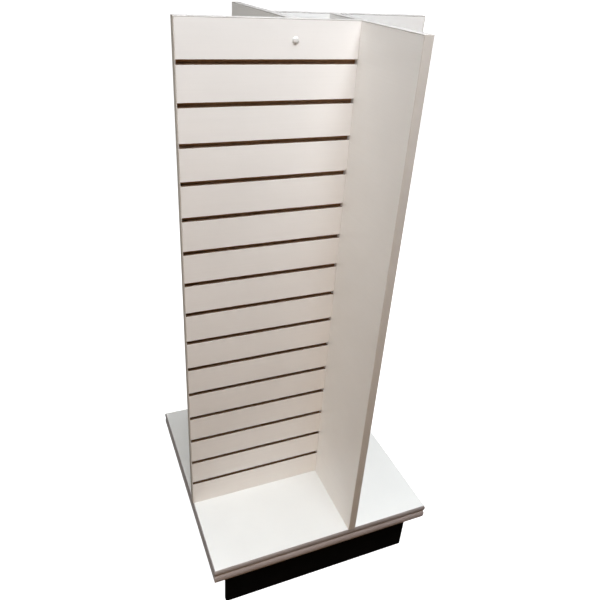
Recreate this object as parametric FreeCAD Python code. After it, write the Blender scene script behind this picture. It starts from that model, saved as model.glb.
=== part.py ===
import FreeCAD, Part
import math
import os

# Four-way slatwall merchandiser: four one-sided slatwall panels stand in a pinwheel on a square
# two-layer deck with a recessed black kick. Millimetres, +Z up, +X right and +Y to the rear.
# The origin is the centre of the base, on the floor. A quarter turn about Z carries each panel
# onto the next, so the front panel is described once and the others are turned copies of it.

Vector = FreeCAD.Vector
INCH = 25.4

# Overall sizes
DECK_SIDE = 24.0 * INCH
DECK_TOP = 7.0 * INCH
PANEL_HEIGHT = 48.0 * INCH
PANEL_TOP = DECK_TOP + PANEL_HEIGHT
PANEL_THICK = 0.75 * INCH
CORE_HALF = 2.5 * INCH

# Slatwall section, measured from the panel's face towards its back
PITCH = 3.0 * INCH
GROOVES = 15
MOUTH = 9.5
CAVITY = 25.4
LIP_DEPTH = 5.6
GROOVE_DEPTH = 11.6
SKIN = 0.6
BAND = 2.0

# Deck and its T-shaped edging
UPPER_THICK = 0.75 * INCH
LOWER_THICK = 1.0 * INCH
EDGING_CROWN = 3.2
EDGING_RIM = 1.4
TANG_THICK = 2.0
TANG_DEPTH = 9.0
KERF_DEPTH = 9.5

# Kick
KICK_HALF_X = 10.5 * INCH
KICK_HALF_Y = 10.875 * INCH
KICK_REVEAL = 0.75 * INCH
KICK_THICK = 0.5 * INCH
BLOCK_SIDE = 1.5 * INCH
BLOCK_BOTTOM = 18.0

# Fasteners
SCREW_SHANK_R = 2.1
SCREW_HEAD_R = 4.1
SCREW_HEAD_H = 3.0
SCREW_TIP = 6.0
CAP_R = 6.75
CAP_RISE = 3.6
CAP_WALL = 0.9
CAP_ROUND = 2.2
WASHER_THICK = 1.2
DOWEL_R = 4.0
DOWEL_IN_FACE = 12.5
DOWEL_IN_END = 22.0
JOINT_SCREW_LONG = 50.0
BASE_SCREW_LONG = 90.0
DECK_SCREW_LONG = 38.0
BLOCK_SCREW_LONG = 64.0
KICK_SCREW_LONG = 47.0
DOWELLED_SLATS = (3, 7, 11, 15)
BASE_SCREW_INSET = 95.0
DECK_SCREW_PLACES = ((180.0, 180.0), (150.0, 0.0))
KICK_SCREW_OFFSET = 10.0
SIDE_KICK_SCREW_HEIGHTS = (86.0, 114.0)
END_KICK_SCREW_HEIGHTS = (100.0, 126.0)

# Levelling glides, M8 thread
STUD_R = 3.95
NUT_BORE_R = 4.0
NUT_BARREL_R = 5.2
NUT_BARREL_LONG = 12.0
NUT_FLANGE_R = 9.5
NUT_FLANGE_THICK = 1.6
STUD_TOP = 58.0
STUD_HEX_FLATS = 13.0
PAD_R = 16.0
PAD_TOP_R = 12.5
PAD_HEIGHT = 9.0
PAD_FLOOR = 3.0
SOCKET_R = 5.8
SOCKET_HEIGHT = 3.6
SOCKET_LIP_R = 3.3
BALL_R = 5.5
NECK_R = 3.0
PLAY = 0.2

# Planes that follow from the sizes above, all for the front panel
FACE = -(CORE_HALF + PANEL_THICK)
BACK = -CORE_HALF
BOARD_FACE = FACE + SKIN
LIP_BACK = FACE + LIP_DEPTH
WEB_FACE = FACE + GROOVE_DEPTH
BOARD_BACK = BACK - SKIN
OUTER_END = -DECK_SIDE / 2
BOARD_END = OUTER_END + BAND
INNER_END = CORE_HALF
BOARD_TOP = PANEL_TOP - BAND
MID_THICK = (FACE + BACK) / 2
DECK_MIDDLE = DECK_TOP - UPPER_THICK
DECK_BOTTOM = DECK_MIDDLE - LOWER_THICK
DECK_BOARD_HALF = DECK_SIDE / 2 - EDGING_CROWN
KICK_SIDE_X = KICK_HALF_X - KICK_REVEAL
BLOCK_X = KICK_SIDE_X - KICK_THICK - BLOCK_SIDE / 2
BLOCK_Y = KICK_HALF_Y - KICK_THICK - BLOCK_SIDE / 2

PANELS = ("front", "right", "back", "left")
CORNERS = {"front_left": (-1, -1), "front_right": (1, -1), "back_right": (1, 1), "back_left": (-1, 1)}


def box(x_range, y_range, z_range):
    """A block between two values on each axis."""
    low, high = zip(x_range, y_range, z_range)
    size = [b - a for a, b in zip(low, high)]
    return Part.makeBox(*size, Vector(*low))


def quarter_turns(shapes, turns):
    """Copies of shapes after a number of quarter turns about the vertical axis."""
    copies = [shape.copy() for shape in shapes]
    for shape in copies:
        shape.rotate(Vector(0, 0, 0), Vector(0, 0, 1), 90 * turns)
    return copies


def all_round(shapes):
    """The shapes at all four quarter turns."""
    return [copy for turns in range(4) for copy in quarter_turns(shapes, turns)]


def drill(shape, tools):
    """The shape with every tool that reaches it cut away."""
    for tool in tools:
        if shape.BoundBox.intersect(tool.BoundBox):
            shape = shape.cut(tool)
    return shape.Solids


def drill_all(shapes, tools):
    return [solid for shape in shapes for solid in drill(shape, tools)]


def save(node, solids):
    """Writes one sub-part, which may be a group of separate solids."""
    shape = solids[0] if len(solids) == 1 else Part.makeCompound(solids)
    shape.exportStep(f"parts/{node}.step")


def lathe(points, base, axis):
    """A solid of revolution from (radius, height) points, standing on base along axis."""
    outline = Part.makePolygon([Vector(r, 0, h) for r, h in points + points[:1]])
    solid = Part.Face(outline).revolve(Vector(0, 0, 0), Vector(0, 0, 1), 360)
    turn = FreeCAD.Rotation(Vector(0, 0, 1), axis)
    solid.Placement = FreeCAD.Placement(base, turn)
    return solid


def wood_screw(base, axis, length):
    """A countersunk wood screw: the flat of its head at base, its point along axis."""
    shank_end = length - SCREW_TIP
    points = [(0, 0), (SCREW_HEAD_R, 0), (SCREW_SHANK_R, SCREW_HEAD_H)]
    points += [(SCREW_SHANK_R, shank_end), (0, length)]
    return lathe(points, base, axis)


# ---------------------------------------------------------------- joints between panels and deck

def slat_middle(slat):
    """Height of the middle of a slat, counting the top one as 0."""
    return PANEL_TOP - (slat + 0.5) * PITCH


def joint_screw():
    """Clamps the front panel to the left panel's inner end, through the top slat."""
    base = Vector(MID_THICK, FACE - WASHER_THICK, slat_middle(0))
    return wood_screw(base, Vector(0, 1, 0), JOINT_SCREW_LONG)


def dowels():
    """Blind dowels from the front panel's back into the left panel's inner end."""
    pins = []
    for slat in DOWELLED_SLATS:
        base = Vector(MID_THICK, BACK - DOWEL_IN_FACE, slat_middle(slat))
        pins.append(Part.makeCylinder(DOWEL_R, DOWEL_IN_FACE + DOWEL_IN_END, base, Vector(0, 1, 0)))
    return pins


def base_screws():
    """Hold the front panel down, from under the deck into the panel's bottom edge."""
    places = (OUTER_END + BASE_SCREW_INSET, 0.0)
    up = Vector(0, 0, 1)
    return [wood_screw(Vector(x, MID_THICK, DECK_BOTTOM), up, BASE_SCREW_LONG) for x in places]


def deck_screws():
    """Pull the upper deck board down onto the lower one, from below."""
    up = Vector(0, 0, 1)
    return [wood_screw(Vector(x, y, DECK_BOTTOM), up, DECK_SCREW_LONG) for x, y in DECK_SCREW_PLACES]


def block_screws():
    """Hold the lower deck board on the corner blocks, under the upper board."""
    screws = []
    for side_x, side_y in CORNERS.values():
        base = Vector(side_x * BLOCK_X, side_y * BLOCK_Y, DECK_MIDDLE)
        screws.append(wood_screw(base, Vector(0, 0, -1), BLOCK_SCREW_LONG))
    return screws


def kick_screws():
    """Two screws from each corner block into each of the two kick boards that meet there."""
    screws = []
    half = BLOCK_SIDE / 2
    offset = KICK_SCREW_OFFSET
    for side_x, side_y in CORNERS.values():
        for height in SIDE_KICK_SCREW_HEIGHTS:
            base = Vector(side_x * (BLOCK_X - half), side_y * (BLOCK_Y + offset), height)
            screws.append(wood_screw(base, Vector(side_x, 0, 0), KICK_SCREW_LONG))
        for height in END_KICK_SCREW_HEIGHTS:
            base = Vector(side_x * (BLOCK_X + offset), side_y * (BLOCK_Y - half), height)
            screws.append(wood_screw(base, Vector(0, side_y, 0), KICK_SCREW_LONG))
    return screws


# ---------------------------------------------------------------- slatwall panels

def rows(gap, top):
    """Heights of the rows left between grooves that are gap tall, from the bottom up."""
    edges = [DECK_TOP]
    for groove in range(GROOVES, 0, -1):
        middle = PANEL_TOP - groove * PITCH
        edges += [middle - gap / 2, middle + gap / 2]
    edges.append(top)
    return list(zip(edges[::2], edges[1::2]))


def grooved_board():
    """The front panel's board. It is one piece of board, kept here as touching blocks (its web,
    and a stem and a lip for each slat), so that every block is convex and each T-shaped groove
    between them is an open space."""
    long = (BOARD_END, INNER_END)
    web = box(long, (WEB_FACE, BOARD_BACK), (DECK_TOP, BOARD_TOP))
    stems = [box(long, (LIP_BACK, WEB_FACE), row) for row in rows(CAVITY, BOARD_TOP)]
    lips = [box(long, (BOARD_FACE, LIP_BACK), row) for row in rows(MOUTH, BOARD_TOP)]
    return [web] + stems + lips


def face_skins():
    """White laminate on the front of each slat."""
    return [box((BOARD_END, INNER_END), (FACE, BOARD_FACE), row) for row in rows(MOUTH, BOARD_TOP)]


def make_panels():
    joint_screws = all_round([joint_screw()])
    pins = all_round(dowels())
    hold_downs = all_round(base_screws())
    tools = joint_screws + pins + hold_downs
    long = (BOARD_END, INNER_END)
    thick = (FACE, BACK)
    pieces = {
        "board": drill_all(grooved_board(), tools),
        "face_skin": drill_all(face_skins(), tools),
        "back_skin": drill(box(long, (BOARD_BACK, BACK), (DECK_TOP, BOARD_TOP)), tools),
        "end_band": [box((OUTER_END, BOARD_END), thick, (DECK_TOP, PANEL_TOP))],
        "top_band": [box(long, thick, (BOARD_TOP, PANEL_TOP))],
    }
    for turns, side in enumerate(PANELS):
        for name, solids in pieces.items():
            save(f"panel_{side}_{name}", quarter_turns(solids, turns))
    save("joint_screws", joint_screws)
    save("panel_dowels", pins)
    save("panel_base_screws", hold_downs)


def make_screw_covers():
    """A washer under each joint screw's head, and the snap-on cap that hides the head."""
    out = Vector(0, -1, 0)
    seat = Vector(MID_THICK, FACE, slat_middle(0))
    washer_r = CAP_R - CAP_WALL - 0.1
    washer = Part.makeCylinder(washer_r, WASHER_THICK, seat, out)
    save("cap_washers", all_round(drill(washer, [joint_screw()])))
    dome = Part.makeCylinder(CAP_R, CAP_RISE, seat, out)
    crown = [edge for edge in dome.Edges if abs(edge.BoundBox.YMax - (FACE - CAP_RISE)) < 1e-6]
    dome = dome.makeFillet(CAP_ROUND, crown)
    hollow = Part.makeCylinder(CAP_R - CAP_WALL, CAP_RISE - CAP_WALL, seat, out)
    save("screw_caps", all_round(dome.cut(hollow).Solids))


# ---------------------------------------------------------------- deck

def deck_board(bottom, thick, skin):
    """A square board with a kerf round its edge for the edging's tang."""
    half = (-DECK_BOARD_HALF, DECK_BOARD_HALF)
    inner = (KERF_DEPTH - DECK_BOARD_HALF, DECK_BOARD_HALF - KERF_DEPTH)
    middle = bottom + thick / 2
    slit = (middle - TANG_THICK / 2, middle + TANG_THICK / 2)
    kerf = box(half, half, slit).cut(box(inner, inner, slit))
    return box(half, half, (bottom, bottom + thick - skin)).cut(kerf)


def edging(bottom, thick):
    """The front strip of T-shaped edging: a crowned face and a tang, mitred at both ends."""
    rim = -DECK_BOARD_HALF - EDGING_RIM
    root = -DECK_BOARD_HALF
    tip = TANG_DEPTH - DECK_BOARD_HALF
    low, middle, high = bottom, bottom + thick / 2, bottom + thick
    under, over = middle - TANG_THICK / 2, middle + TANG_THICK / 2
    front = -DECK_SIDE / 2
    crown = Part.Arc(Vector(0, rim, low), Vector(0, front, middle), Vector(0, rim, high))
    corners = ((rim, high), (root, high), (root, over), (tip, over), (tip, under), (root, under),
               (root, low), (rim, low))
    rest = Part.makePolygon([Vector(0, y, z) for y, z in corners])
    face = Part.Face(Part.Wire([crown.toShape()] + rest.Edges))
    face.translate(Vector(-DECK_SIDE / 2, 0, 0))
    strip = face.extrude(Vector(DECK_SIDE, 0, 0))
    reach = DECK_SIDE
    wedge = [Vector(0, 0, 0), Vector(-reach, -reach, 0), Vector(reach, -reach, 0), Vector(0, 0, 0)]
    mitre = Part.Face(Part.makePolygon(wedge)).extrude(Vector(0, 0, DECK_TOP + 1))
    return strip.common(mitre).Solids


def make_deck():
    tools = all_round(base_screws() + deck_screws()) + block_screws()
    half = (-DECK_BOARD_HALF, DECK_BOARD_HALF)
    save("deck_top_skin", drill(box(half, half, (DECK_TOP - SKIN, DECK_TOP)), tools))
    save("deck_upper_board", drill(deck_board(DECK_MIDDLE, UPPER_THICK, SKIN), tools))
    save("deck_lower_board", drill(deck_board(DECK_BOTTOM, LOWER_THICK, 0), tools))
    for turns, side in enumerate(PANELS):
        save(f"deck_upper_edging_{side}", quarter_turns(edging(DECK_MIDDLE, UPPER_THICK), turns))
        save(f"deck_lower_edging_{side}", quarter_turns(edging(DECK_BOTTOM, LOWER_THICK), turns))
    save("deck_board_screws", all_round(deck_screws()))


# ---------------------------------------------------------------- kick

def make_kick():
    """Boards under the deck: the front and back ones run past the side ones, which are set in."""
    tools = block_screws() + kick_screws()
    tall = (0.0, DECK_BOTTOM)
    inside_y = KICK_HALF_Y - KICK_THICK
    for side, sign in (("front", -1), ("back", 1)):
        depth = sorted((sign * inside_y, sign * KICK_HALF_Y))
        board = box((-KICK_HALF_X, KICK_HALF_X), depth, tall)
        save(f"kick_{side}", drill(board, tools))
    for side, sign in (("left", -1), ("right", 1)):
        width = sorted((sign * (KICK_SIDE_X - KICK_THICK), sign * KICK_SIDE_X))
        board = box(width, (-inside_y, inside_y), tall)
        save(f"kick_{side}", drill(board, tools))
    half = BLOCK_SIDE / 2
    for corner, (side_x, side_y) in CORNERS.items():
        x, y = side_x * BLOCK_X, side_y * BLOCK_Y
        block = box((x - half, x + half), (y - half, y + half), (BLOCK_BOTTOM, DECK_BOTTOM))
        bore = Part.makeCylinder(NUT_BARREL_R, STUD_TOP, Vector(x, y, BLOCK_BOTTOM))
        save(f"corner_block_{corner}", drill(block, tools + [bore]))
    save("block_deck_screws", block_screws())
    save("kick_block_screws", kick_screws())


# ---------------------------------------------------------------- levelling glides

def leveller_nut(x, y):
    """A flanged threaded insert in the bottom of a corner block."""
    bottom = BLOCK_BOTTOM - NUT_FLANGE_THICK
    top = BLOCK_BOTTOM + NUT_BARREL_LONG
    points = [(NUT_BORE_R, bottom), (NUT_FLANGE_R, bottom), (NUT_FLANGE_R, BLOCK_BOTTOM)]
    points += [(NUT_BARREL_R, BLOCK_BOTTOM), (NUT_BARREL_R, top), (NUT_BORE_R, top)]
    return lathe(points, Vector(x, y, 0), Vector(0, 0, 1))


def leveller_stud(x, y):
    """A threaded stud with a hexagon to turn it by and a button that swivels in the pad."""
    button_low = PAD_FLOOR + PLAY
    button_high = PAD_FLOOR + SOCKET_HEIGHT - PLAY
    hex_low = PAD_HEIGHT + 2 * PLAY
    hex_high = BLOCK_BOTTOM - NUT_FLANGE_THICK - PLAY
    points = [(0, button_low), (BALL_R, button_low), (BALL_R, button_high), (NECK_R, button_high)]
    points += [(NECK_R, hex_high), (STUD_R, hex_high), (STUD_R, STUD_TOP - 1), (STUD_R - 1, STUD_TOP)]
    points += [(0, STUD_TOP)]
    shaft = lathe(points, Vector(x, y, 0), Vector(0, 0, 1))
    corner_r = STUD_HEX_FLATS / math.sqrt(3)
    ring = [Vector(corner_r * math.cos(a), corner_r * math.sin(a), 0) + Vector(x, y, hex_low)
            for a in (math.radians(60 * step) for step in range(7))]
    hexagon = Part.Face(Part.makePolygon(ring)).extrude(Vector(0, 0, hex_high - hex_low))
    return shaft.fuse(hexagon).removeSplitter().Solids


def leveller_pad(x, y):
    """A round foot with a socket for the stud's button."""
    socket_top = PAD_FLOOR + SOCKET_HEIGHT
    points = [(0, 0), (PAD_R - 1, 0), (PAD_R, 1), (PAD_R, 3), (PAD_TOP_R, PAD_HEIGHT)]
    points += [(SOCKET_LIP_R, PAD_HEIGHT), (SOCKET_LIP_R, socket_top), (SOCKET_R, socket_top)]
    points += [(SOCKET_R, PAD_FLOOR), (0, PAD_FLOOR)]
    return lathe(points, Vector(x, y, 0), Vector(0, 0, 1))


def make_levellers():
    nuts = []
    for corner, (side_x, side_y) in CORNERS.items():
        x, y = side_x * BLOCK_X, side_y * BLOCK_Y
        nuts.append(leveller_nut(x, y))
        save(f"leveller_stud_{corner}", leveller_stud(x, y))
        save(f"leveller_pad_{corner}", [leveller_pad(x, y)])
    save("leveller_nuts", nuts)


make_panels()
make_screw_covers()
make_deck()
make_kick()
make_levellers()
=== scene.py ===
"""The looks of a four-way slatwall merchandiser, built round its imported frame.

White melamine panels with routed grooves stand in a pinwheel on a deck with crowned edging, over a
matt black kick. Everything is in metres and in the frame's own coordinates.
"""

import math

import bmesh
import bpy
from mathutils import Matrix, Vector


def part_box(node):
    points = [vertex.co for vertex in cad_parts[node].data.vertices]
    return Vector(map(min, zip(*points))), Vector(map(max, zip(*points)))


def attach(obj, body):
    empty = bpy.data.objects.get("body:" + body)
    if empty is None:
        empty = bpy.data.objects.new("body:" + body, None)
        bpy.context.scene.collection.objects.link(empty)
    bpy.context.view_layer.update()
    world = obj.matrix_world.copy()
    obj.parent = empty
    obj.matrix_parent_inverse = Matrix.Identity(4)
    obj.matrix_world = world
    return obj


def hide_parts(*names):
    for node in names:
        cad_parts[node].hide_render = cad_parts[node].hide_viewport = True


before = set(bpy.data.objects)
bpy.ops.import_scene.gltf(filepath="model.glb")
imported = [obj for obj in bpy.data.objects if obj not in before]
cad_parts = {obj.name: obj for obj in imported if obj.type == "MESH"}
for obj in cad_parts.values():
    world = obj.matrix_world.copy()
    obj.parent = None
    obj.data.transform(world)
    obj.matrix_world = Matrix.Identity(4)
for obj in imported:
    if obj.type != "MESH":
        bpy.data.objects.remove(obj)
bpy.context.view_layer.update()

MM = 0.001
BODY = "merchandiser"
SIDES = ("front", "right", "back", "left")
CORNERS = ("front_left", "front_right", "back_right", "back_left")

# Slatwall section: where the routed T lies, as distances from the face and from a groove's middle
PITCH = 76.2 * MM
GROOVES = 15
HALF_MOUTH = 4.75 * MM
HALF_CAVITY = 12.7 * MM
LIP_DEPTH = 5.6 * MM
GROOVE_DEPTH = 11.6 * MM
CUTTER_ROUND = 0.7 * MM
LIP_ROUND = 0.35 * MM

# How far the edges of the plain pieces are rounded
SKIN_EASE = 0.15 * MM
STRIP_ROUND = 0.8 * MM
KICK_ROUND = 1.0 * MM
BLOCK_ROUND = 1.2 * MM

# Crowned deck edging: a bowed front, and a barbed tang that is pressed into the board's kerf
CROWN_DEPTH = 2.9 * MM
CROWN_POWER = 2.6
CROWN_STEPS = 20
EDGING_THICKNESS = 3.2 * MM
HALF_TANG = 0.95 * MM
TANG_LENGTH = 8.8 * MM
BARBS = 3
BARB_PITCH = 2.2 * MM
BARB_SLOPE = 0.3 * MM
HALF_WAIST = 0.55 * HALF_TANG
HALF_TIP = 0.5 * HALF_TANG
MITRE_GAP = 0.06 * MM

# Wood screws: a countersunk head with a cross recess, a plain shank for a share of the length,
# and a coarse thread that runs up to a point. The last two are shares of the radius.
HEAD_RADIUS = 4.1 * MM
HEAD_HEIGHT = 3.0 * MM
HEAD_EASE = 0.15 * MM
RECESS_RADIUS = 2.2 * MM
RECESS_DEPTH = 2.0 * MM
SHANK_RADIUS = 2.1 * MM
SHANK_SHARE = 0.25
POINT_LENGTH = 6.0 * MM
SCREW_PITCH = 2.4 * MM
RECESS_WAIST = 0.45
THREAD_ROOT = 0.74

# Levelling glides: an M8 stud with a hexagon to turn it by, and a button that the foot holds
THREAD_RADIUS = 3.95 * MM
THREAD_PITCH = 1.25 * MM
THREAD_DEPTH = 0.6 * MM
THREAD_CHAMFER = 0.8 * MM
BUTTON_RADIUS = 5.5 * MM
BUTTON_TOP = 6.4 * MM
BUTTON_EASE = 0.3 * MM
NECK_RADIUS = 3.0 * MM
NECK_TOP = 9.2 * MM
HEXAGON_BOTTOM = 9.4 * MM
HEXAGON_TOP = 16.2 * MM
HEXAGON_FLATS = 13.0 * MM
HEXAGON_CHAMFER = 0.9 * MM

# How finely meshes are made: rings to a turn of thread, the closest that two vertices may lie,
# and the angle from which an edge is sharp
SCREW_RINGS = 5
THREAD_RINGS = 6
WELD = 1e-6
SHARP_ANGLE = math.radians(50)

# The stage: how far the floor reaches each way, the backdrop's radius, and a glow past white
FLOOR_REACH = 40
DOME_RADIUS = 30
GLOW = 1.1


# ---------------------------------------------------------------- mesh helpers

def finish_mesh(bm, name, material, replaces, body=BODY):
    """Turns bm into a named piece that rides on a body, smooth up to its sharp edges."""
    bmesh.ops.remove_doubles(bm, verts=bm.verts, dist=WELD)
    bmesh.ops.recalc_face_normals(bm, faces=bm.faces)
    for face in bm.faces:
        face.smooth = True
    mesh = bpy.data.meshes.new(name)
    bm.to_mesh(mesh)
    bm.free()
    mesh.set_sharp_from_angle(angle=SHARP_ANGLE)
    mesh.materials.append(material)
    piece = bpy.data.objects.new(name, mesh)
    bpy.context.scene.collection.objects.link(piece)
    flatten = piece.modifiers.new("weighted_normals", "WEIGHTED_NORMAL")
    flatten.keep_sharp = True
    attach(piece, body)
    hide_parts(*replaces)


def add_box(bm, low, high, ease, segments=3):
    """A box between two corners with its edges rounded by ease."""
    size = Vector(high) - Vector(low)
    middle = (Vector(high) + Vector(low)) / 2
    matrix = Matrix.Translation(middle) @ Matrix.Diagonal((*size, 1))
    made = bmesh.ops.create_cube(bm, size=1.0, matrix=matrix)["verts"]
    edges = list({edge for vert in made for edge in vert.link_edges})
    bmesh.ops.bevel(bm, geom=edges, offset=ease, segments=segments, profile=0.5, affect="EDGES")


def rounded(outline, steps=3):
    """An outline of (a, b, radius) corners as a list of (a, b) points, each corner rounded."""
    points = []
    count = len(outline)
    for i, (a, b, radius) in enumerate(outline):
        here = Vector((a, b))
        if radius <= 0:
            points.append((a, b))
            continue
        before = Vector(outline[i - 1][:2]) - here
        after = Vector(outline[(i + 1) % count][:2]) - here
        turn = before.angle(after)
        reach = min(radius / math.tan(turn / 2), 0.45 * before.length, 0.45 * after.length)
        start = here + before.normalized() * reach
        end = here + after.normalized() * reach
        for step in range(steps + 1):
            t = step / steps
            point = start * (1 - t) ** 2 + here * 2 * t * (1 - t) + end * t ** 2
            points.append((point.x, point.y))
    return points


def add_prism(bm, outline, place):
    """A closed prism: outline points (a, b), set by place(a, b, end) at its two ends."""
    rings = [[bm.verts.new(place(a, b, end)) for a, b in outline] for end in (0, 1)]
    count = len(outline)
    for i in range(count):
        j = (i + 1) % count
        bm.faces.new((rings[0][i], rings[0][j], rings[1][j], rings[1][i]))
    bm.faces.new(rings[0])
    bm.faces.new(list(reversed(rings[1])))


def add_lathe(bm, points, base, axis=(0, 0, 1), around=32, ripple=None):
    """A solid turned from (radius, height) points, on base and along axis.

    ripple(angle, radius, height) gives each vertex its own radius, for threads and flats."""
    turn = Vector((0, 0, 1)).rotation_difference(Vector(axis)).to_matrix()
    base = Vector(base)
    rings = []
    for radius, height in points:
        if radius <= 0:
            rings.append([bm.verts.new(base + turn @ Vector((0, 0, height)))])
            continue
        ring = []
        for step in range(around):
            angle = 2 * math.pi * step / around
            r = ripple(angle, radius, height) if ripple else radius
            corner = Vector((r * math.cos(angle), r * math.sin(angle), height))
            ring.append(bm.verts.new(base + turn @ corner))
        rings.append(ring)
    for low, high in zip(rings, rings[1:]):
        for i in range(around):
            j = (i + 1) % around
            lower = [low[i % len(low)], low[j % len(low)]]
            upper = [high[j % len(high)], high[i % len(high)]]
            corners = list(dict.fromkeys(lower + upper))
            if len(corners) > 2:
                bm.faces.new(corners)
    for ring in (rings[0], list(reversed(rings[-1]))):
        if len(ring) > 2:
            bm.faces.new(ring)


def quarter(bm, turns):
    """Turns everything in bm by quarter turns about the vertical axis."""
    matrix = Matrix.Rotation(turns * math.pi / 2, 3, "Z")
    bmesh.ops.rotate(bm, verts=bm.verts, cent=(0, 0, 0), matrix=matrix)


def centre_key(points):
    """The middle of some points to a tenth of a millimetre, to sort solids by."""
    return tuple(round(c, 4) for c in sum(points, Vector()) / len(points))


def solids_of(node):
    """The separate solids in a CAD node, each as a list of its corner points."""
    bm = bmesh.new()
    bm.from_mesh(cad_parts[node].data)
    bmesh.ops.remove_doubles(bm, verts=bm.verts, dist=WELD)
    left = set(bm.verts)
    found = []
    while left:
        island = []
        queue = [left.pop()]
        while queue:
            vert = queue.pop()
            island.append(vert.co.copy())
            for edge in vert.link_edges:
                other = edge.other_vert(vert)
                if other in left:
                    left.remove(other)
                    queue.append(other)
        found.append(island)
    bm.free()
    return sorted(found, key=centre_key)


def extent(points):
    """Lowest and highest corner of some points."""
    low = Vector([min(p[i] for p in points) for i in range(3)])
    high = Vector([max(p[i] for p in points) for i in range(3)])
    return low, high


def on_axis(low, high, index, upward):
    """Where a turned solid starts and which way it points, along one axis of its box."""
    base = (low + high) / 2
    base[index] = low[index] if upward else high[index]
    axis = Vector((0, 0, 0))
    axis[index] = 1 if upward else -1
    return base, axis


# ---------------------------------------------------------------- material helpers

def add(tree, kind, inputs=None, **settings):
    """A shader node with its settings, and with each input set to a value or linked to a socket."""
    node = tree.nodes.new(kind)
    for key, value in settings.items():
        setattr(node, key, value)
    for key, value in (inputs or {}).items():
        if isinstance(value, bpy.types.NodeSocket):
            tree.links.new(value, node.inputs[key])
        else:
            node.inputs[key].default_value = value
    return node


def noise(tree, scale, detail=2.0, roughness=0.5, stretch=(1, 1, 1)):
    """A noise value with about scale features to the metre, squeezed along an axis by stretch."""
    place = add(tree, "ShaderNodeTexCoord").outputs["Object"]
    mapped = add(tree, "ShaderNodeMapping", {"Vector": place, "Scale": stretch}).outputs["Vector"]
    inputs = {"Vector": mapped, "Scale": scale, "Detail": detail, "Roughness": roughness}
    return add(tree, "ShaderNodeTexNoise", inputs).outputs["Fac"]


def ramp(tree, value, low, high, dark, light):
    """Colours from dark to light as value goes from low to high."""
    node = add(tree, "ShaderNodeValToRGB", {"Fac": value})
    for stop, position, colour in zip(node.color_ramp.elements, (low, high), (dark, light)):
        stop.position = position
        stop.color = (*colour, 1)
    return node.outputs["Color"]


def blend_colours(tree, factor, first, second):
    """The first colour, going over to the second as factor goes from 0 to 1."""
    node = add(tree, "ShaderNodeMix", data_type="RGBA")
    for index, value in ((0, factor), (6, first), (7, second)):
        if isinstance(value, bpy.types.NodeSocket):
            tree.links.new(value, node.inputs[index])
        else:
            node.inputs[index].default_value = value if index == 0 else (*value, 1)
    return node.outputs[2]


def spread(tree, value, low, high):
    """Maps a 0 to 1 value onto low to high."""
    inputs = {"Value": value, "To Min": low, "To Max": high}
    return add(tree, "ShaderNodeMapRange", inputs).outputs["Result"]


def bump(tree, height, strength, distance, before=None):
    """A normal raised by height, on top of another bump if before is given."""
    inputs = {"Height": height, "Strength": strength, "Distance": distance}
    if before:
        inputs["Normal"] = before
    return add(tree, "ShaderNodeBump", inputs).outputs["Normal"]


def surface(name, **sockets):
    """A new material: its node tree and its shader, with whole-surface values set on the shader."""
    material = bpy.data.materials.new(name)
    material.use_nodes = True
    shader = material.node_tree.nodes["Principled BSDF"]
    for key, value in sockets.items():
        shader.inputs[key.replace("_", " ")].default_value = value
    return material, material.node_tree, shader


def shade(tree, shader, **sockets):
    """Links node outputs to the shader's sockets."""
    for key, socket in sockets.items():
        tree.links.new(socket, shader.inputs[key.replace("_", " ")])


# ---------------------------------------------------------------- materials

def melamine(name, light, dark):
    """White melamine: a fine pebble pressed into it, faint level streaks and handling marks."""
    material, tree, shader = surface(name, IOR=1.5)
    cloud = noise(tree, 5, 3)
    smudge = noise(tree, 23, 4, 0.6)
    pebble = noise(tree, 1500, 1.5)
    broad = noise(tree, 9, 1)
    streak = noise(tree, 40, 5, 0.65, stretch=(0.1, 0.1, 8))
    colour = ramp(tree, cloud, 0.35, 0.65, dark, light)
    colour = blend_colours(tree, spread(tree, streak, 0.0, 0.5), colour, [c * 0.93 for c in dark])
    rough = spread(tree, smudge, 0.30, 0.45)
    wave = bump(tree, broad, 0.35, 0.4 * MM)
    relief = bump(tree, pebble, 0.16, 0.10 * MM, wave)
    shade(tree, shader, Base_Color=colour, Roughness=rough, Normal=relief)
    return material


def satin_plastic(name, light, dark, roughness=0.42):
    """Satin plastic: faintly clouded, with a fine grain and a few dull scuffs."""
    material, tree, shader = surface(name, IOR=1.48)
    cloud = noise(tree, 14, 3)
    grain = noise(tree, 900, 2)
    scuff = noise(tree, 60, 5, 0.7)
    colour = ramp(tree, cloud, 0.3, 0.7, dark, light)
    rough = spread(tree, scuff, roughness - 0.08, roughness + 0.14)
    relief = bump(tree, grain, 0.12, 0.08 * MM)
    shade(tree, shader, Base_Color=colour, Roughness=rough, Normal=relief)
    return material


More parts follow.
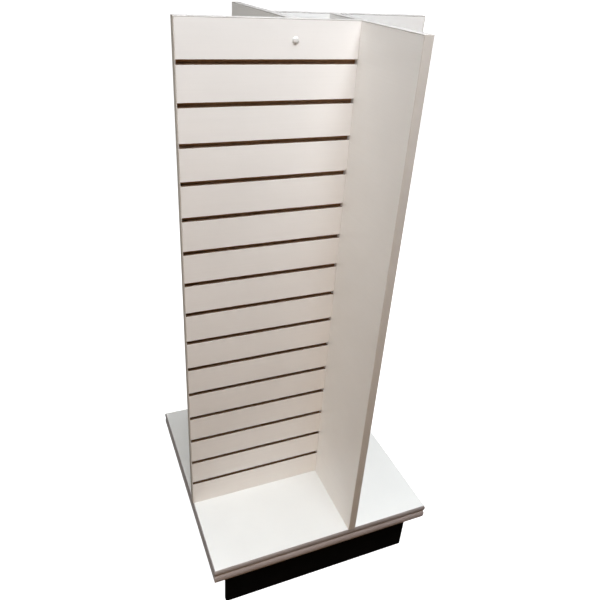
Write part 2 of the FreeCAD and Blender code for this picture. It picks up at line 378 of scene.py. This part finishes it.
def fibreboard(name):
    """Raw routed fibreboard: mottled brown, fuzzy, with level tool marks along the cut.

    The level faces of a groove are painted near black, as painted shade for the shadow inside the
    grooves."""
    material, tree, shader = surface(name, Roughness=0.93, Specular_IOR_Level=0.2)
    fibre = noise(tree, 1900, 4, 0.7)
    mottle = noise(tree, 120, 4, 0.6)
    marks = noise(tree, 40, 3, 0.6, stretch=(0.5, 0.5, 60))
    colour = ramp(tree, mottle, 0.3, 0.7, (0.36, 0.21, 0.12), (0.50, 0.30, 0.175))
    streaked = blend_colours(tree, spread(tree, marks, 0.0, 0.35), colour, (0.27, 0.155, 0.09))
    flecked = blend_colours(tree, spread(tree, fibre, 0.0, 0.3), streaked, (0.58, 0.39, 0.26))
    facing = add(tree, "ShaderNodeTexCoord").outputs["Normal"]
    height = add(tree, "ShaderNodeSeparateXYZ", {"Vector": facing}).outputs["Z"]
    level = add(tree, "ShaderNodeMath", {0: height}, operation="ABSOLUTE").outputs[0]
    # Painted shade: faces that lie level in the grooves are darkened to near black
    shaded_level_faces = blend_colours(tree, spread(tree, level, 0.0, 0.78), flecked, (0.055, 0.030, 0.018))
    ridges = bump(tree, marks, 0.5, 0.15 * MM)
    shade(tree, shader, Base_Color=shaded_level_faces, Normal=bump(tree, fibre, 0.6, 0.2 * MM, ridges))
    return material


def particle_board(name):
    """Pressed wood chips, seen on the underside of the deck."""
    material, tree, shader = surface(name, Roughness=0.85, Specular_IOR_Level=0.25)
    place = add(tree, "ShaderNodeTexCoord").outputs["Object"]
    chips = add(tree, "ShaderNodeTexVoronoi", {"Vector": place, "Scale": 260.0, "Randomness": 1.0})
    tone = add(tree, "ShaderNodeSeparateColor", {"Color": chips.outputs["Color"]}).outputs[0]
    colour = ramp(tree, tone, 0.0, 1.0, (0.30, 0.20, 0.12), (0.52, 0.39, 0.26))
    mottle = noise(tree, 35, 4, 0.6)
    colour = blend_colours(tree, spread(tree, mottle, 0.0, 0.4), colour, (0.33, 0.22, 0.14))
    shade(tree, shader, Base_Color=colour, Normal=bump(tree, tone, 0.35, 0.2 * MM))
    return material


def black_melamine(name):
    """Matt black board with a little dust and a few rubbed marks."""
    material, tree, shader = surface(name, Specular_IOR_Level=0.12)
    dust = noise(tree, 45, 6, 0.7)
    rubbed = noise(tree, 9, 4, 0.6)
    grain = noise(tree, 1300, 2)
    colour = ramp(tree, dust, 0.45, 0.85, (0.0022, 0.0022, 0.0024), (0.0065, 0.0063, 0.0060))
    rough = spread(tree, rubbed, 0.48, 0.66)
    relief = bump(tree, grain, 0.15, 0.08 * MM)
    shade(tree, shader, Base_Color=colour, Roughness=rough, Normal=relief)
    return material


def upright_beech(name, light, dark):
    """Planed beech with its long grain upright and short dark flecks."""
    stretch = (1, 1, 0.05)
    material, tree, shader = surface(name, Roughness=0.62, Specular_IOR_Level=0.35)
    grain = noise(tree, 260, 5, 0.65, stretch)
    rings = noise(tree, 28, 3, 0.5, stretch)
    colour = ramp(tree, rings, 0.3, 0.7, dark, light)
    colour = blend_colours(tree, spread(tree, grain, 0.0, 0.45), colour, [c * 0.55 for c in dark])
    shade(tree, shader, Base_Color=colour, Normal=bump(tree, grain, 0.3, 0.15 * MM))
    return material


def zinc(name):
    """Bright zinc plate with a faint uneven haze."""
    material, tree, shader = surface(name, Metallic=1.0)
    haze = noise(tree, 220, 4, 0.6)
    colour = ramp(tree, haze, 0.3, 0.7, (0.50, 0.51, 0.53), (0.66, 0.66, 0.67))
    shade(tree, shader, Base_Color=colour, Roughness=spread(tree, haze, 0.24, 0.42))
    return material


def nylon(name):
    """Black moulded nylon with a spark-eroded grain."""
    material, tree, shader = surface(name, IOR=1.5)
    grain = noise(tree, 1800, 3)
    wear = noise(tree, 130, 3)
    colour = ramp(tree, wear, 0.3, 0.8, (0.012, 0.012, 0.013), (0.030, 0.030, 0.031))
    rough = spread(tree, wear, 0.42, 0.6)
    relief = bump(tree, grain, 0.3, 0.1 * MM)
    shade(tree, shader, Base_Color=colour, Roughness=rough, Normal=relief)
    return material


WHITE = melamine("white_melamine", (0.83, 0.815, 0.795), (0.79, 0.775, 0.755))
DECK_WHITE = melamine("deck_melamine", (0.82, 0.83, 0.815), (0.78, 0.79, 0.775))
BROWN = fibreboard("routed_fibreboard")
STRIP = satin_plastic("panel_edge_strip", (0.62, 0.585, 0.545), (0.58, 0.545, 0.505))
# Painted shade: the top strips are a darker grey than the end strips, for the shade line along the
# panel tops
SHADED_TOP_STRIP = satin_plastic("panel_top_strip_shaded", (0.52, 0.50, 0.48), (0.47, 0.45, 0.43))
# Painted shade: the upper deck edging is the lower one's vinyl toned darker
SHADED_UPPER_CROWN = satin_plastic("upper_deck_edging_shaded", (0.37, 0.34, 0.34), (0.325, 0.295, 0.295))
LOWER_CROWN = satin_plastic("lower_deck_edging", (0.53, 0.49, 0.495), (0.47, 0.43, 0.435))
CHIPS = particle_board("particle_board")
BLACK = black_melamine("black_melamine")
BEECH = upright_beech("beech_upright", (0.56, 0.40, 0.25), (0.42, 0.28, 0.16))
ZINC = zinc("zinc_plate")
NYLON = nylon("black_nylon")
CAP = satin_plastic("cap_plastic", (0.64, 0.63, 0.615), (0.60, 0.59, 0.575), roughness=0.52)


# ---------------------------------------------------------------- slatwall panels

def groove_middles(top):
    """Heights of the grooves' middles, from the top one down."""
    return [top - PITCH * (groove + 1) for groove in range(GROOVES)]


def board_outline(face, skin, back, bottom, top, middles):
    """The routed board's section as (y, z, radius) corners, from the top down its grooved side."""
    lip, web = face + LIP_DEPTH, face + GROOVE_DEPTH
    outline = [(back, top, 0), (skin, top, 0)]
    for z in middles:
        for sign in (1, -1):
            mouth, cavity = z + sign * HALF_MOUTH, z + sign * HALF_CAVITY
            corners = [(skin, mouth, LIP_ROUND), (lip, mouth, LIP_ROUND)]
            corners += [(lip, cavity, CUTTER_ROUND), (web, cavity, CUTTER_ROUND)]
            outline += corners if sign > 0 else corners[::-1]
    return outline + [(skin, bottom, 0), (back, bottom, 0)]


def build_panel(turns, side):
    """One panel: routed board, slat laminate and the strips on its outer end and top."""
    low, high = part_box("panel_front_board")
    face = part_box("panel_front_face_skin")[0].y
    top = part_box("panel_front_top_band")[1].z
    middles = groove_middles(top)
    outline = rounded(board_outline(face, low.y, high.y, low.z, high.z, middles))
    board = bmesh.new()
    add_prism(board, outline, lambda y, z, end: (low.x if end else high.x, y, z))
    quarter(board, turns)
    finish_mesh(board, f"{side}_routed_board", BROWN,
                replaces=[f"panel_{side}_board"])

    edges = [high.z] + [z + sign * HALF_MOUTH for z in middles for sign in (1, -1)] + [low.z]
    slats = bmesh.new()
    for above, below in zip(edges[::2], edges[1::2]):
        add_box(slats, (low.x, face, below), (high.x, low.y, above), SKIN_EASE, segments=1)
    quarter(slats, turns)
    finish_mesh(slats, f"{side}_slat_laminate", WHITE,
                replaces=[f"panel_{side}_face_skin"])

    for part, material in (("end_band", STRIP), ("top_band", SHADED_TOP_STRIP)):
        strip = bmesh.new()
        add_box(strip, *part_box(f"panel_front_{part}"), STRIP_ROUND)
        quarter(strip, turns)
        finish_mesh(strip, f"{side}_{part}_strip", material,
                    replaces=[f"panel_{side}_{part}"])


def cap_profile(radius, rise):
    """A cap's half section as (radius, height) points: an eased rim, a small step and a dome."""
    shoulder, foot = radius - 0.45 * MM, 1.15 * MM
    flatness, steps = 0.8, 8
    profile = [(radius - 0.6 * MM, 0), (radius, 0.15 * MM), (radius, 0.75 * MM)]
    profile += [(radius - 0.35 * MM, 1.0 * MM), (shoulder, foot)]
    for step in range(1, steps):
        angle = step / steps * math.pi / 2
        across = shoulder * math.cos(angle) ** flatness
        profile.append((across, foot + (rise - foot) * math.sin(angle)))
    return profile + [(0, rise)]


def build_caps():
    """Snap-on covers of the joint screws, each facing away from the middle of the fixture."""
    caps = bmesh.new()
    for points in solids_of("screw_caps"):
        low, high = extent(points)
        size = high - low
        index = 0 if size.x < size.y else 1
        outward = low[index] + high[index] > 0
        base, axis = on_axis(low, high, index, outward)
        add_lathe(caps, cap_profile(size.z / 2, size[index]), base, axis, around=40)
    finish_mesh(caps, "screw_cap_domes", CAP, replaces=["screw_caps"])


# ---------------------------------------------------------------- deck

def edging_outline(low, high):
    """Section of the crowned edging and its barbed tang as (y, z) points."""
    middle, half_height = (low.z + high.z) / 2, (high.z - low.z) / 2
    board = low.y + EDGING_THICKNESS
    crown = []
    for step in range(CROWN_STEPS + 1):
        t = -1 + 2 * step / CROWN_STEPS
        crown.append((low.y + CROWN_DEPTH * abs(t) ** CROWN_POWER, middle + t * half_height))
    tang = [(board, HALF_TANG)]
    for barb in range(BARBS):
        y = board + BARB_PITCH * (barb + 1)
        tang += [(y, HALF_TANG), (y + BARB_SLOPE, HALF_WAIST)]
    tang.append((board + TANG_LENGTH, HALF_TIP))
    upper = [(y, middle + z) for y, z in tang]
    lower = [(y, middle - z) for y, z in reversed(tang)]
    return crown + [(board, high.z)] + upper + lower + [(board, low.z)]


def build_edging(layer, material):
    """The edging of one deck board, mitred at its four corners."""
    outline = edging_outline(*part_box(f"deck_{layer}_edging_front"))

    def place(y, z, end):
        reach = abs(y) - MITRE_GAP
        return (-reach if end else reach, y, z)

    for turns, side in enumerate(SIDES):
        strip = bmesh.new()
        add_prism(strip, outline, place)
        quarter(strip, turns)
        finish_mesh(strip, f"{layer}_edging_{side}", material,
                    replaces=[f"deck_{layer}_edging_{side}"])


def build_kick():
    """The four kick boards, and the block that joins them in each corner."""
    for side in SIDES:
        board = bmesh.new()
        add_box(board, *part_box(f"kick_{side}"), KICK_ROUND)
        finish_mesh(board, f"kick_board_{side}", BLACK,
                    replaces=[f"kick_{side}"])
    for corner in CORNERS:
        block = bmesh.new()
        add_box(block, *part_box(f"corner_block_{corner}"), BLOCK_ROUND)
        finish_mesh(block, f"beech_block_{corner}", BEECH,
                    replaces=[f"corner_block_{corner}"])


# ---------------------------------------------------------------- fasteners and glides

def add_screw(bm, base, axis, length):
    """A countersunk wood screw with a cross recess in its head and a coarse thread."""
    recess = [(0, RECESS_DEPTH), (0.5 * MM, 1.9 * MM), (1.0 * MM, 1.2 * MM), (2.1 * MM, 0.25 * MM)]
    head = [(RECESS_RADIUS, 0), (HEAD_RADIUS - HEAD_EASE, 0), (HEAD_RADIUS, HEAD_EASE)]
    thread_start, thread_end = HEAD_HEIGHT + SHANK_SHARE * length, length - POINT_LENGTH
    profile = recess + head + [(SHANK_RADIUS, HEAD_HEIGHT), (SHANK_RADIUS, thread_start)]
    height = thread_start
    while height < thread_end:
        height += SCREW_PITCH / SCREW_RINGS
        profile.append((SHANK_RADIUS, height))
    profile += [(SHANK_RADIUS * 0.55, length - POINT_LENGTH * 0.4), (0, length)]

    def ripple(angle, radius, height):
        if radius < RECESS_RADIUS and 0 < height <= RECESS_DEPTH:
            cross = abs(math.cos(2 * angle)) ** 4
            return radius * (RECESS_WAIST + (1 - RECESS_WAIST) * cross)
        if height <= thread_start:
            return radius
        phase = (height / SCREW_PITCH - angle / (2 * math.pi)) % 1.0
        crest = abs(1 - 2 * phase) ** 1.5
        return radius * (THREAD_ROOT + (1 - THREAD_ROOT) * crest)

    add_lathe(bm, profile, base, axis, around=16, ripple=ripple)


def end_width(points, index, end):
    """How many corners lie in one end of a solid, and how far out they reach from its middle."""
    low, high = extent(points)
    middle = (low + high) / 2
    depth = 0.1 * MM
    corners = [p for p in points if abs(p[index] - end[index]) < depth]
    return len(corners), max(((p - middle).length_squared for p in corners), default=0)


def build_screws(node):
    """Detailed screws in place of a node's plain ones, each set by its own solid."""
    screws = bmesh.new()
    for points in solids_of(node):
        low, high = extent(points)
        size = high - low
        index = max(range(3), key=lambda i: size[i])
        low_count, low_width = end_width(points, index, low)
        high_count, high_width = end_width(points, index, high)
        head_is_low = low_count > high_count or low_width > high_width + 1e-9
        add_screw(screws, *on_axis(low, high, index, head_is_low), size[index])
    finish_mesh(screws, f"{node}_threaded", ZINC, replaces=[node])


def build_glides():
    """The four levelling glides, each a stud and a foot on bodies of their own."""
    for corner in CORNERS:
        low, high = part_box(f"leveller_stud_{corner}")
        place = ((low.x + high.x) / 2, (low.y + high.y) / 2, 0)
        build_stud(corner, place, low.z, high.z)
        build_foot(corner, place)


def build_stud(corner, place, bottom, top):
    """M8 stud: swivel button, neck, chamfered hexagon and a rolled thread."""
    eased = BUTTON_RADIUS - BUTTON_EASE
    profile = [(0, bottom), (eased, bottom), (BUTTON_RADIUS, bottom + BUTTON_EASE)]
    profile += [(BUTTON_RADIUS, BUTTON_TOP - BUTTON_EASE), (eased, BUTTON_TOP)]
    profile += [(NECK_RADIUS, z) for z in (BUTTON_TOP, NECK_TOP, HEXAGON_TOP - 0.1 * MM)]
    height = HEXAGON_TOP
    while height < top - THREAD_CHAMFER:
        profile.append((THREAD_RADIUS, height))
        height += THREAD_PITCH / THREAD_RINGS
    profile += [(THREAD_RADIUS, top - THREAD_CHAMFER), (THREAD_RADIUS - 0.9 * MM, top), (0, top)]

    def thread(angle, radius, height):
        if height < HEXAGON_TOP or radius < THREAD_RADIUS:
            return radius
        phase = (height / THREAD_PITCH - angle / (2 * math.pi)) % 1.0
        return radius - THREAD_DEPTH * abs(1 - 2 * phase)

    def flats(angle, radius, height):
        from_flat = angle % (math.pi / 3) - math.pi / 6
        return min(radius, HEXAGON_FLATS / 2 / math.cos(from_flat))

    face = HEXAGON_FLATS / 2 - 0.2 * MM
    corners = HEXAGON_FLATS / math.sqrt(3)
    hexagon = [(0, HEXAGON_BOTTOM), (face, HEXAGON_BOTTOM)]
    hexagon += [(corners, HEXAGON_BOTTOM + HEXAGON_CHAMFER)]
    hexagon += [(corners, HEXAGON_TOP - HEXAGON_CHAMFER)]
    hexagon += [(face, HEXAGON_TOP), (0, HEXAGON_TOP)]

    stud = bmesh.new()
    add_lathe(stud, profile, place, around=28, ripple=thread)
    add_lathe(stud, hexagon, place, around=48, ripple=flats)
    finish_mesh(stud, f"threaded_stud_{corner}", ZINC, body=f"glide_stud_{corner}",
                replaces=[f"leveller_stud_{corner}"])


def build_foot(corner, place):
    """Moulded nylon foot: a rounded skirt, a stepped shoulder and the socket for the button."""
    skirt = [(0, 0), (14.6, 0), (15.5, 0.25), (16.0, 1.0), (16.0, 2.6), (15.7, 3.2), (14.6, 4.0)]
    shoulder = [(13.4, 5.6), (12.9, 7.4), (12.5, 8.6), (12.0, 9.0), (4.2, 9.0)]
    socket = [(3.6, 8.7), (3.3, 8.2), (3.3, 6.6), (5.8, 6.6), (5.8, 3.0), (0, 3.0)]
    profile = [(radius * MM, height * MM) for radius, height in skirt + shoulder + socket]
    foot = bmesh.new()
    add_lathe(foot, profile, place, around=48)
    finish_mesh(foot, f"moulded_foot_{corner}", NYLON, body=f"glide_pad_{corner}",
                replaces=[f"leveller_pad_{corner}"])


def dress_cad_nodes():
    """The CAD parts that stay as they are get their materials."""
    finishes = {"deck_top_skin": DECK_WHITE, "deck_upper_board": CHIPS, "deck_lower_board": CHIPS,
                "panel_dowels": BEECH, "cap_washers": CAP, "leveller_nuts": ZINC}
    for side in SIDES:
        finishes[f"panel_{side}_back_skin"] = WHITE
    for node, material in finishes.items():
        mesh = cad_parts[node].data
        mesh.materials.clear()
        mesh.materials.append(material)


for turns, side in enumerate(SIDES):
    build_panel(turns, side)
build_caps()
build_edging("upper", SHADED_UPPER_CROWN)
build_edging("lower", LOWER_CROWN)
build_kick()
for screw_node in ("joint_screws", "panel_base_screws", "deck_board_screws", "block_deck_screws",
                   "kick_block_screws"):
    build_screws(screw_node)
build_glides()
dress_cad_nodes()


# ---------------------------------------------------------------- stage, light and camera

def staged(name, bm, material):
    """A backdrop surface that the camera sees and that throws no light on the object."""
    mesh = bpy.data.meshes.new(name)
    bm.to_mesh(mesh)
    bm.free()
    mesh.materials.append(material)
    piece = bpy.data.objects.new(name, mesh)
    bpy.context.scene.collection.objects.link(piece)
    piece.visible_diffuse = False
    piece.visible_glossy = False
    return piece


def glowing(name, grey, roughness):
    """A matt surface that shines a little past white, so that no shadow or tint shows on it."""
    material, _, _ = surface(name, Roughness=roughness, Specular_IOR_Level=0.0,
                             Base_Color=(grey, grey, grey, 1), Emission_Color=(1, 1, 1, 1),
                             Emission_Strength=GLOW)
    return material


def build_stage():
    """A pale floor that runs into a pale backdrop."""
    floor = bmesh.new()
    bmesh.ops.create_grid(floor, x_segments=1, y_segments=1, size=FLOOR_REACH)
    staged("floor", floor, glowing("pale_floor", 0.25, roughness=0.9))
    dome = bmesh.new()
    bmesh.ops.create_uvsphere(dome, u_segments=48, v_segments=24, radius=DOME_RADIUS)
    backdrop = staged("backdrop", dome, glowing("pale_backdrop", 0.0, roughness=1.0))
    backdrop.visible_shadow = False


def area_light(name, place, target, size, power, colour, mirrored=True):
    """A square softbox, unseen by the camera. Its size is in metres and its power in watts.

    Gloss shows it only if it is mirrored."""
    light = bpy.data.lights.new(name, "AREA")
    light.shape = "SQUARE"
    light.size = size
    light.energy = power
    light.color = colour
    lamp = bpy.data.objects.new(name, light)
    lamp.location = place
    aim = Vector(target) - Vector(place)
    lamp.rotation_euler = aim.to_track_quat("-Z", "Y").to_euler()
    lamp.visible_camera = False
    lamp.visible_glossy = mirrored
    bpy.context.scene.collection.objects.link(lamp)


def build_light():
    """Soft light from above and over the front, with fills low down and from the other sides."""
    world = bpy.data.worlds.new("studio")
    world.use_nodes = True
    background = world.node_tree.nodes["Background"]
    background.inputs["Color"].default_value = (1.0, 0.93, 0.87, 1)
    background.inputs["Strength"].default_value = 0.01
    bpy.context.scene.world = world
    area_light("ceiling_panel", (0, -0.6, 4.5), (0, 0, 0.3), 3.0, 60, (0.99, 1.0, 1.0))
    area_light("front_panel", (0, -1.1, 3.2), (0, 0, 0.5), 1.5, 20, (0.94, 0.97, 1.0))
    area_light("front_softbox", (0, -1.2, 2.5), (0, 0, 0.6), 0.8, 22, (0.93, 0.96, 1.0))
    area_light("top_softbox", (0, -0.1, 2.4), (0, 0, 0.3), 1.0, 9, (0.89, 0.93, 1.0))
    area_light("low_fill", (-0.5, -2.0, 0.5), (0, 0, 0.4), 0.8, 6, (1.0, 0.55, 0.21))
    area_light("left_fill", (-2.6, -0.6, 1.5), (0, 0, 0.8), 1.2, 23, (1.0, 0.94, 0.86))
    area_light("right_fill", (2.8, 0.6, 1.2), (0, 0, 0.8), 1.4, 53, (1.0, 1.0, 1.0),
               mirrored=False)
    area_light("back_fill", (-0.6, 2.2, 0.7), (0, 0, 0.6), 1.0, 23, (1.0, 0.99, 0.99),
               mirrored=False)


def build_camera():
    """The camera of the reference view. Its yaw is from +Y to +X, and its pitch is downward."""
    place = (-0.5297, -1.1853, 1.4909)
    yaw, pitch, roll = 0.41492, 0.51557, 0.06442
    flat = math.cos(pitch)
    forward = Vector((math.sin(yaw) * flat, math.cos(yaw) * flat, -math.sin(pitch)))
    level = Vector((math.cos(yaw), -math.sin(yaw), 0))
    upright = level.cross(forward)
    right = level * math.cos(roll) + upright * math.sin(roll)
    up = upright * math.cos(roll) - level * math.sin(roll)
    lens = bpy.data.cameras.new("camera")
    lens.lens = 35.0
    lens.sensor_width = 36.0
    lens.shift_x = 0.0107
    lens.shift_y = -0.0145
    camera = bpy.data.objects.new("camera", lens)
    axes = Matrix((right, up, -forward)).transposed().to_4x4()
    camera.matrix_world = Matrix.Translation(place) @ axes
    bpy.context.scene.collection.objects.link(camera)
    bpy.context.scene.camera = camera


build_stage()
build_light()
build_camera()
bpy.context.scene.view_settings.view_transform = "Standard"
